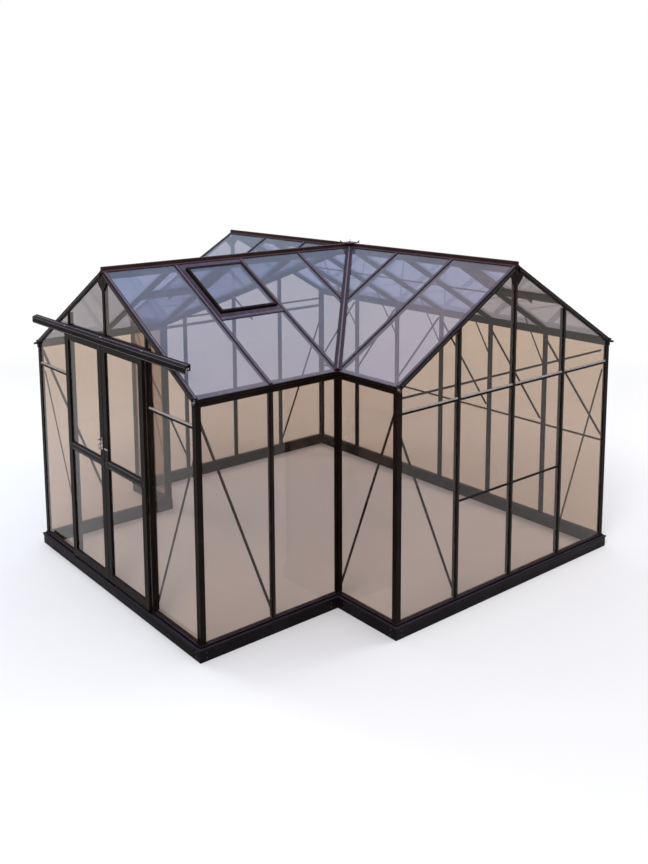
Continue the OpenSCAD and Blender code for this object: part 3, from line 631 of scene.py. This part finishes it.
def screw_tree(sizes):
    """Pan head with a six-sided socket."""
    tree, given = sized_tree("pan_head_screw", sizes)
    cone = {
        "Vertices": 14, "Radius Bottom": given["Radius"], "Radius Top": times(tree, given["Radius"], 0.74),
        "Depth": given["Height"],
    }
    head = node(tree, "GeometryNodeMeshCone", cone).outputs["Mesh"]
    bore = {"Vertices": 6, "Radius": times(tree, given["Radius"], 0.42), "Depth": given["Height"]}
    socket = node(tree, "GeometryNodeMeshCylinder", bore).outputs["Mesh"]
    rise = node(tree, "ShaderNodeCombineXYZ", {"Z": times(tree, given["Height"], 0.9)}).outputs["Vector"]
    raised = node(tree, "GeometryNodeTransform", {"Geometry": socket, "Translation": rise})
    both = {"Mesh 1": head, "Mesh 2": raised.outputs["Geometry"]}
    cut = node(tree, "GeometryNodeMeshBoolean", both, operation="DIFFERENCE")
    return stamped(tree, given, cut.outputs["Mesh"])


def brush_tree(sizes):
    """Brush seal along the edges of a mesh: a flat carrier and tufts that point to the front."""
    tree, given = sized_tree("brush_seal", sizes)
    path = node(tree, "GeometryNodeMeshToCurve", {"Mesh": given["Geometry"]}).outputs["Curve"]
    box = {"Width": given["Width"], "Height": given["Depth"]}
    outline = node(tree, "GeometryNodeCurvePrimitiveQuadrilateral", box).outputs["Curve"]
    swept = {"Curve": path, "Profile Curve": outline, "Fill Caps": True}
    carrier = node(tree, "GeometryNodeCurveToMesh", swept).outputs["Mesh"]
    steps = {"Curve": path, "Length": given["Spacing"]}
    places = node(tree, "GeometryNodeResampleCurve", steps, mode="LENGTH")
    tuft = {
        "Vertices": 4, "Radius Bottom": times(tree, given["Spacing"], 0.45),
        "Radius Top": times(tree, given["Spacing"], 0.15), "Depth": given["Length"],
    }
    bristles = node(tree, "GeometryNodeMeshCone", tuft).outputs["Mesh"]
    lean = node(tree, "FunctionNodeRandomValue", data_type="FLOAT_VECTOR")
    lean.inputs["Min"].default_value = (math.radians(84), -0.10, 0)
    lean.inputs["Max"].default_value = (math.radians(96), 0.10, 0.8)
    lean.inputs["Seed"].default_value = 7
    spin = node(tree, "FunctionNodeEulerToRotation", {"Euler": lean.outputs["Value"]}).outputs["Rotation"]
    placed = {"Points": places.outputs["Curve"], "Instance": bristles, "Rotation": spin}
    tufts = node(tree, "GeometryNodeInstanceOnPoints", placed).outputs["Instances"]
    both = node(tree, "GeometryNodeJoinGeometry")
    for part in (carrier, tufts):
        tree.links.new(part, both.inputs["Geometry"])
    return finish_tree(tree, given, both.outputs["Geometry"])


def grow(name, mesh, tree, sizes, material, cad_name):
    """Runs a tree on a mesh and leaves a plain piece, which rides with a CAD node."""
    piece = linked(name, mesh, material)
    live = piece.modifiers.new("grown", "NODES")
    live.node_group = tree
    given = {**sizes, "Material": material}
    for item in tree.interface.items_tree:
        if item.in_out == "INPUT" and item.name in given:
            live[item.identifier] = given[item.name]
    bake_down(piece)
    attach(piece, body_of(cad_name))
    slot_of(cad_name)


# ---- ribs ----


def fine_rib_sets():
    """Name, carrying node and faces of each set of fine ribs."""
    yield "vent_curb_ribs", "vent_curbs", [face for face in long_faces("vent_curbs") if face[2].z > SLOPE_UP]
    yield "ridge_ribs", "ridges", [face for face in long_faces("ridges") if face[2].z > CREST_UP]

    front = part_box("door_track")[0].y + 2 * MM
    lines = []
    for middle, along, out, length in long_faces("door_track"):
        rises = (0,) if out.z > HOOD_UP else (-TRACK_RIBS, TRACK_RIBS) if middle.y < front else ()
        lines += [(middle + Vector((0, 0, rise)), along, out, length) for rise in rises]
    yield "door_track_ribs", "door_track", lines

    for side in ("left", "right"):
        leaf = side + "_door_frame"
        low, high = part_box(leaf)
        middle = Vector(((low.x + high.x) / 2, low.y, low.z + MID_RAIL))
        along, out, length = Vector((1, 0, 0)), Vector((0, -1, 0)), high.x - low.x - 2 * STILE_WIDTH
        rails = [(middle + Vector((0, 0, rise)), along, out, length) for rise in (-RAIL_RIBS, RAIL_RIBS)]
        yield leaf + "_ribs", leaf, rails


def run_ribs(name, cad_name, faces, tree, sizes, coat):
    """Runs a rib along the middle of each face of a node, a little short of its ends."""
    if not faces:
        raise RuntimeError(f"No face for ribs found on {cad_name}")
    stamps = [(middle, along, out, length - RIB_PLAY) for middle, along, out, length in faces]
    grow(name, stamp_mesh(name, stamps), tree, sizes, coat, cad_name)


# ---- screws ----


def plate_seats():
    """Seats on the apex plates of the main gables and of the door gable."""
    low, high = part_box("apex_plates")
    ridge_y = sum(corner.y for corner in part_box("ridge_cover")) / 2
    seats = []
    for side in (-1, 1):
        starts = [(side * (high.x + REACH), ridge_y + across, low.z + up) for across, up in PLATE_SCREWS]
        seats += seated("apex_plates", starts, (-side, 0, 0))
    starts = [(across, low.y - REACH, low.z + up) for across, up in PLATE_SCREWS]
    return seats + seated("apex_plates", starts, (0, 1, 0))


def end_seats(cad_name, inset):
    """Seats near both ends of each long face of a node."""
    return [
        (middle + along * end * (length / 2 - inset), out)
        for middle, along, out, length in long_faces(cad_name) for end in (-1, 1)
    ]


def track_seats():
    """Seats along the top of the track's front, a pair at each post."""
    low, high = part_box("door_track")
    places = [post + side * TRACK_PAIR for post in (-BAY, 0, BAY) for side in (-1, 1)]
    return seated("door_track", [(x, low.y - REACH, high.z - TRACK_DROP) for x in places], (0, 1, 0))


def stop_seats():
    """Seats on the outer faces of the stops in the track."""
    low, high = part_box("door_track")
    return [
        (Vector((side * (high.x - STOP_SCREW_INSET), low.y + STOP_DEPTH + back, low.z + STOP_RISE)),
         Vector((side, 0, 0)))
        for side in (-1, 1) for back in (-STOP_PAIR, STOP_PAIR)
    ]


def leaf_seats(leaf):
    """Seats in pairs at the corners of a door leaf and at the ends of its middle rail."""
    low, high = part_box(leaf)
    heights = (low.z + LEAF_FOOT, low.z + MID_RAIL, high.z - LEAF_TOP)
    across = (low.x + LEAF_INSET, high.x - LEAF_INSET)
    starts = [(x, low.y - REACH, z + up) for x in across for z in heights for up in (-LEAF_PAIR, LEAF_PAIR)]
    return seated(leaf, starts, (0, 1, 0))


def plinth_seats(cad_name, places):
    """Seats in upright pairs on both halves of the plinth, each from a place and a level direction."""
    seats = []
    for (x, y), (to_x, to_y) in places:
        for side in (1, -1):
            starts = [(x * side, y, height) for height in PLINTH_HEIGHTS]
            seats += seated(cad_name, starts, (to_x * side, to_y, 0))
    return seats


def plinth_places():
    """Places and directions for the sides and for the fronts of the plinth, on its left half."""
    low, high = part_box("plinth_sides")
    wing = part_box("inner_corner_posts")[0]
    outer_x, wing_x = low.x - REACH, wing.x - REACH
    wing_y, main_y, rear_y = low.y - REACH, wing.y - REACH, high.y + REACH
    sides = (
        ((outer_x, wing.y + PLINTH_INSET), (1, 0)), ((outer_x, high.y - PLINTH_INSET), (1, 0)),
        ((wing_x, low.y + PLINTH_INSET), (1, 0)), ((wing_x, wing.y - PLINTH_INSET), (1, 0)),
    )
    fronts = (
        ((wing.x + PLINTH_INSET, wing_y), (0, 1)), ((wing.x - PLINTH_INSET, main_y), (0, 1)),
        ((low.x + PLINTH_INSET, main_y), (0, 1)), ((low.x + PLINTH_INSET, rear_y), (0, -1)),
        ((wing.x, rear_y), (0, -1)),
    )
    return sides, fronts


def screw_sets():
    """Name, carrying node, seats and finish of each set of screws."""
    yield "plate_screws", "apex_plates", plate_seats(), "black"
    yield "brace_screws", "wall_braces", end_seats("wall_braces", BRACE_INSET), "black"
    yield "knee_screws", "knee_braces", end_seats("knee_braces", KNEE_INSET), "black"
    yield "track_screws", "door_track", track_seats(), "zinc"
    yield "stop_screws", "door_track", stop_seats(), "zinc"
    for side in ("left", "right"):
        leaf = side + "_door_frame"
        yield side + "_door_screws", leaf, leaf_seats(leaf), "black"
    for cad_name, places in zip(("plinth_sides", "plinth_fronts"), plinth_places()):
        yield cad_name + "_screws", cad_name, plinth_seats(cad_name, places), "black"


# ---- seals ----


def fit_jamb_brushes(spacing, material):
    """Upright brush seals on the door posts, which fill the gap behind the leaves."""
    low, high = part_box("door_posts")
    leaf_low, leaf_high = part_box("left_door_frame")
    gap = low.y - leaf_high.y
    sizes = {"Width": BRUSH_WIDTH, "Depth": BRUSH_CARRIER, "Length": gap - BRUSH_PLAY, "Spacing": spacing}
    x, y = high.x - BRUSH_INSET, low.y - BRUSH_CARRIER / 2
    foot, top = leaf_low.z + BRUSH_FOOT, leaf_high.z - BRUSH_TOP
    ends = [(side * x, y, z) for side in (-1, 1) for z in (foot, top)]
    brushes = bpy.data.meshes.new("jamb_brushes")
    brushes.from_pydata(ends, [(0, 1), (2, 3)], [])
    grow("jamb_brushes", brushes, brush_tree(sizes), sizes, material, "door_posts")


def fit_meeting_bulb(material):
    """A bulb seal on the edge of the right leaf, where it meets the left one."""
    low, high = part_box("right_door_frame")
    middle = Vector((low.x, (low.y + high.y) / 2, (low.z + high.z) / 2))
    stamp = (middle, Vector((0, 0, 1)), Vector((-1, 0, 0)), high.z - low.z - BULB_PLAY)
    mesh = stamp_mesh("meeting_bulb", [stamp])
    grow("meeting_bulb", mesh, rib_tree(BULB), BULB, material, "right_door_frame")


def set_track_stops(material):
    """A rubber block in each end of the track, above the leaves and past the rollers."""
    low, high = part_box("door_track")
    shape = bmesh.new()
    for side in (-1, 1):
        made = bmesh.ops.create_cube(shape, size=1.0)["verts"]
        middle = (side * (high.x - STOP_INSET), low.y + STOP_DEPTH, low.z + STOP_RISE)
        bmesh.ops.scale(shape, verts=made, vec=STOP_BLOCK)
        bmesh.ops.translate(shape, verts=made, vec=middle)
    mesh = bpy.data.meshes.new("track_stops")
    shape.to_mesh(mesh)
    shape.free()
    stops = linked("track_stops", mesh, material)
    soften(stops, 1.5 * MM)
    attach(stops, body_of("door_track"))


# ---- operators ----

# Bars with the plain black coat
BLACK_BARS = (
    "sill_fronts", "sill_sides", "corner_posts", "inner_corner_posts", "wall_bars", "gable_posts",
    "door_posts", "door_gable_post", "gable_ties", "glass_strips", "door_header",
    "wall_braces", "knee_braces", "apex_plates", "main_eaves", "wing_eaves",
    "main_rafters", "wing_rafters", "jack_rafters", "valley_bars", "gable_rafters",
    "vent_stays", "track_brackets",
)


class GREENHOUSE_OT_bars(bpy.types.Operator):
    """Coat the posts, bars, braces, rafters and gutters, and round their edges"""

    bl_idname = "greenhouse.bars"
    bl_label = "Bars"

    def execute(self, context):
        bars = context.scene.greenhouse_bars
        black = powder_coat("black_coat", bars.coat, 0.34, 0.30)
        for name in BLACK_BARS:
            finish_node(name, black, bars.edge)
        # Pale top on the transoms, even where they barely look up: painted light on their ledges, mixed with
        # dirt
        ledge = powder_coat("ledge_coat", bars.coat, 0.30, 1.0, (0.40, 0.35, 0.33), tilt=(0.12, 0.36))
        finish_node("transoms", ledge, bars.edge)
        # Glossy coat with a strong pale top on the gutter knobs: a painted highlight
        knob = powder_coat("knob_coat", bars.coat, 0.16, 0.6, (0.40, 0.36, 0.40), 0.6)
        finish_node("gutter_ends", knob, bars.edge)
        return {"FINISHED"}


class GREENHOUSE_OT_ribs(bpy.types.Operator):
    """Run raised ribs along the caps of the bars, and fine ones along the track, curbs, ridges and rails"""

    bl_idname = "greenhouse.ribs"
    bl_label = "Ribs"

    def execute(self, context):
        bars, fixings = context.scene.greenhouse_bars, context.scene.greenhouse_fixings
        sizes = {"Width": fixings.rib_width, "Height": fixings.rib_height}
        tree = rib_tree(sizes)
        # The rib coat is a lighter copy of the bar coat with a strong pale lavender top: a painted sky
        # reflection along the caps
        coat = powder_coat("rib_coat", [c * 1.6 for c in bars.coat], 0.28, 0.85, (0.25, 0.21, 0.31), 0.15)
        for cad_name in CAPPED_BARS:
            caps = [face for face in long_faces(cad_name) if looks_out(face[0], face[2])]
            run_ribs(cad_name + "_ribs", cad_name, caps, tree, sizes, coat)
        # The fine ribs take a much lighter coat, which paints highlight lines on the track, curbs, ridges
        # and rails
        bright = powder_coat("painted_highlight_coat", bars.painted_highlight_coat, 0.26, 0.8, (0.42, 0.37, 0.45), 0.3)
        for name, cad_name, faces in fine_rib_sets():
            run_ribs(name, cad_name, faces, tree, FINE_RIB, bright)
        return {"FINISHED"}


class GREENHOUSE_OT_screws(bpy.types.Operator):
    """Set the screws of the plates, braces, track, doors and plinth"""

    bl_idname = "greenhouse.screws"
    bl_label = "Screws"

    def execute(self, context):
        fixings = context.scene.greenhouse_fixings
        sizes = {"Radius": fixings.screw_radius, "Height": fixings.screw_height}
        tree = screw_tree(sizes)
        finishes = {
            "black": powder_coat("screw_coat", (0.02, 0.016, 0.016), 0.30, 0.5, (0.30, 0.27, 0.30), 0.4),
            "zinc": bare_metal("screw_zinc", (0.62, 0.60, 0.60), 0.34),
        }
        for name, cad_name, seats, finish in screw_sets():
            grow(name, stamp_mesh(name, screw_stamps(seats)), tree, sizes, finishes[finish], cad_name)
        return {"FINISHED"}


class GREENHOUSE_OT_seals(bpy.types.Operator):
    """Fit brush seals on the door posts, a bulb between the leaves and the stops of the track"""

    bl_idname = "greenhouse.seals"
    bl_label = "Seals"

    def execute(self, context):
        rubber = dull_rubber("seal_rubber", (0.010, 0.010, 0.010), 0.6)
        fit_jamb_brushes(context.scene.greenhouse_fixings.bristle_spacing, rubber)
        fit_meeting_bulb(rubber)
        set_track_stops(rubber)
        return {"FINISHED"}


class GREENHOUSE_OT_base(bpy.types.Operator):
    """Coat the plinth and the guide of the doors"""

    bl_idname = "greenhouse.base"
    bl_label = "Base"

    def execute(self, context):
        bars = context.scene.greenhouse_bars
        coat = powder_coat("base_coat", bars.base_coat, 0.40, 0.22)
        finish_node("plinth_fronts", coat, bars.round_edge)
        finish_node("plinth_sides", coat, bars.round_edge)
        finish_node("bottom_guide", coat, bars.edge)
        return {"FINISHED"}


class GREENHOUSE_OT_ridge(bpy.types.Operator):
    """Coat the ridge caps and the cover plate"""

    bl_idname = "greenhouse.ridge"
    bl_label = "Ridge"

    def execute(self, context):
        bars = context.scene.greenhouse_bars
        coat = powder_coat("ridge_coat", bars.ridge_coat, 0.30, 0.35)
        finish_node("ridges", coat, bars.round_edge, 3)
        finish_node("ridge_cover", coat, bars.edge)
        return {"FINISHED"}


class GREENHOUSE_OT_panes(bpy.types.Operator):
    """Glaze the walls, the gables, the roof, the vents and the doors"""

    bl_idname = "greenhouse.panes"
    bl_label = "Panes"

    def execute(self, context):
        panes = context.scene.greenhouse_panes
        # Painted reflections on the panes: warm surroundings on the walls, and on the roof a blue sky that
        # turns to a pink sunset glow along its length
        painted_warm_reflection = ((0.45, 0.36, 0.30), (0.50, 0.36, 0.26))
        painted_sky_reflection = ((0.30, 0.38, 0.55), (0.50, 0.40, 0.46))
        wall = pane_glass("wall_glass", panes.wall_tint, painted_warm_reflection, 0.012, 0.02)
        roof = pane_glass("roof_glass", panes.roof_tint, painted_sky_reflection, 0.16, 0.02)
        for name in frame["nodes"]:
            if name.endswith("glass"):
                finish_node(name, roof if "roof" in name or "vent" in name else wall, panes.arris, 1)
        return {"FINISHED"}


class GREENHOUSE_OT_vents(bpy.types.Operator):
    """Coat the frames and the curbs of the roof vents"""

    bl_idname = "greenhouse.vents"
    bl_label = "Vents"

    def execute(self, context):
        bars = context.scene.greenhouse_bars
        finish_node("vent_frames", powder_coat("vent_coat", bars.coat, 0.32, 0.04), bars.round_edge)
        # Lavender top on the curbs: a painted sky reflection, mixed with dirt
        curb_coat = powder_coat("curb_coat", bars.coat, 0.34, 0.6, (0.20, 0.16, 0.26))
        finish_node("vent_curbs", curb_coat, bars.edge)
        return {"FINISHED"}


class GREENHOUSE_OT_doors(bpy.types.Operator):
    """Finish the track, the leaves, their rollers and the latch"""

    bl_idname = "greenhouse.doors"
    bl_label = "Doors"

    def execute(self, context):
        bars = context.scene.greenhouse_bars
        coat = powder_coat("door_coat", bars.coat, 0.34, 0.12)
        track_coat = powder_coat("track_coat", bars.track_coat, 0.42, 0.14, shine=0.02)
        finish_node("door_track", track_coat, bars.edge)
        for side in ("left", "right"):
            nylon = dull_rubber(side + "_nylon", (0.03, 0.03, 0.03), 0.5)
            finish_node(side + "_door_frame", coat, bars.edge)
            finish_node(side + "_door_rollers", nylon, 0.5 * MM)
        steel = bare_metal("latch_steel", (0.62, 0.54, 0.53), 0.32)
        finish_node("left_door_latch", steel, 0.6 * MM)
        finish_node("right_door_keep", steel, 0.6 * MM)
        return {"FINISHED"}


class GREENHOUSE_OT_stage(bpy.types.Operator):
    """Lay the floor, hang the lamps and set up the camera"""

    bl_idname = "greenhouse.stage"
    bl_label = "Stage"

    def execute(self, context):
        stage = context.scene.greenhouse_stage
        lay_floor(stage)
        light_world(context.scene)
        hang_lamps()
        set_camera(context.scene, stage)
        context.scene.view_settings.view_transform = "Standard"
        context.scene.cycles.transparent_max_bounces = PANE_BOUNCES
        return {"FINISHED"}


def sees_background(tree):
    """1 for rays that look at the background straight, in a mirror or through glass."""
    path = node(tree, "ShaderNodeLightPath").outputs
    straight_or_mirrored = maths(tree, "MAXIMUM", path["Is Camera Ray"], path["Is Glossy Ray"])
    return maths(tree, "MAXIMUM", straight_or_mirrored, path["Is Transmission Ray"])


def lay_floor(stage):
    """A square floor, pale round the greenhouse and white further out."""
    half = stage.floor_size / 2
    corners = [(-half, -half, 0), (half, -half, 0), (half, half, 0), (-half, half, 0)]
    mesh = bpy.data.meshes.new("floor_mesh")
    mesh.from_pydata(corners, [], [(0, 1, 2, 3)])
    material, tree = blank("pale_floor")
    where = place_on_piece(tree)
    distance = node(tree, "ShaderNodeVectorMath", {0: where}, operation="LENGTH").outputs["Value"]
    far = times(tree, spread(tree, distance, *FLOOR_FADE), sees_background(tree))
    grain = blended(tree, noise(tree, where, 90.0, 4.0), [c * 0.985 for c in stage.floor], list(stage.floor))
    matt = node(tree, "ShaderNodeBsdfDiffuse", {"Color": grain})
    white = node(tree, "ShaderNodeEmission", {"Color": (1, 1, 1, 1), "Strength": 1.0})
    whole = node(tree, "ShaderNodeMixShader", {0: far, 1: matt.outputs[0], 2: white.outputs[0]})
    show(tree, whole.outputs[0])
    linked("floor", mesh, material)


def light_world(scene):
    """A soft sky that looks white as a background."""
    world = bpy.data.worlds.new("studio")
    scene.world = world
    world.use_nodes = True
    tree = world.node_tree
    tree.nodes.clear()
    dim = node(tree, "ShaderNodeBackground", {"Color": (0.86, 0.90, 1.0, 1), "Strength": 0.75})
    white = node(tree, "ShaderNodeBackground", {"Color": (1, 1, 1, 1), "Strength": 1.0})
    shades = {0: sees_background(tree), 1: dim.outputs[0], 2: white.outputs[0]}
    mix = node(tree, "ShaderNodeMixShader", shades)
    node(tree, "ShaderNodeOutputWorld", {"Surface": mix.outputs[0]})


def hang_lamps():
    """Round soft lamps, which no pane mirrors."""
    for name, where, size, watts, colour in LAMPS:
        lamp = bpy.data.lights.new(name, "AREA")
        lamp.shape = "DISK"
        lamp.size = size
        lamp.energy = watts
        lamp.color = colour
        holder = bpy.data.objects.new(name, lamp)
        holder.location = where
        holder.rotation_euler = (Vector(where) - Vector(LAMP_AIM)).to_track_quat("Z", "Y").to_euler()
        holder.visible_glossy = False
        bpy.context.scene.collection.objects.link(holder)


def set_camera(scene, stage):
    """A camera placed and turned as the settings say."""
    data = bpy.data.cameras.new("camera")
    data.sensor_width = 36
    data.lens = stage.lens
    data.shift_x, data.shift_y = stage.shift
    camera = bpy.data.objects.new("camera", data)
    low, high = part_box("ridge_cover")
    camera.location = Vector(stage.camera) + Vector((0, (low.y + high.y) / 2, 0))
    camera.rotation_euler = Euler(stage.turn)
    scene.collection.objects.link(camera)
    scene.camera = camera


class GREENHOUSE_PT_panel(bpy.types.Panel):
    """Lists the steps that finish the greenhouse"""

    bl_idname = "GREENHOUSE_PT_panel"
    bl_label = "Greenhouse"
    bl_space_type = "VIEW_3D"
    bl_region_type = "UI"
    bl_category = "Greenhouse"

    def draw(self, context):
        for step in STEPS:
            self.layout.operator(step.bl_idname)


STEPS = (
    GREENHOUSE_OT_stage, GREENHOUSE_OT_bars, GREENHOUSE_OT_base, GREENHOUSE_OT_ridge, GREENHOUSE_OT_panes,
    GREENHOUSE_OT_vents, GREENHOUSE_OT_doors, GREENHOUSE_OT_ribs, GREENHOUSE_OT_screws, GREENHOUSE_OT_seals,
)
SETTINGS = {
    "greenhouse_bars": GreenhouseBars,
    "greenhouse_fixings": GreenhouseFixings,
    "greenhouse_panes": GreenhousePanes,
    "greenhouse_stage": GreenhouseStage,
}
CLASSES = (*SETTINGS.values(), *STEPS, GREENHOUSE_PT_panel)


def register():
    for one in CLASSES:
        bpy.utils.register_class(one)
    for name, group in SETTINGS.items():
        setattr(bpy.types.Scene, name, bpy.props.PointerProperty(type=group))


def unregister():
    for name in SETTINGS:
        delattr(bpy.types.Scene, name)
    for one in reversed(CLASSES):
        bpy.utils.unregister_class(one)


def main():
    register()
    for step in STEPS:
        group, name = step.bl_idname.split(".")
        getattr(getattr(bpy.ops, group), name)()


if __name__ == "__main__":
    main()
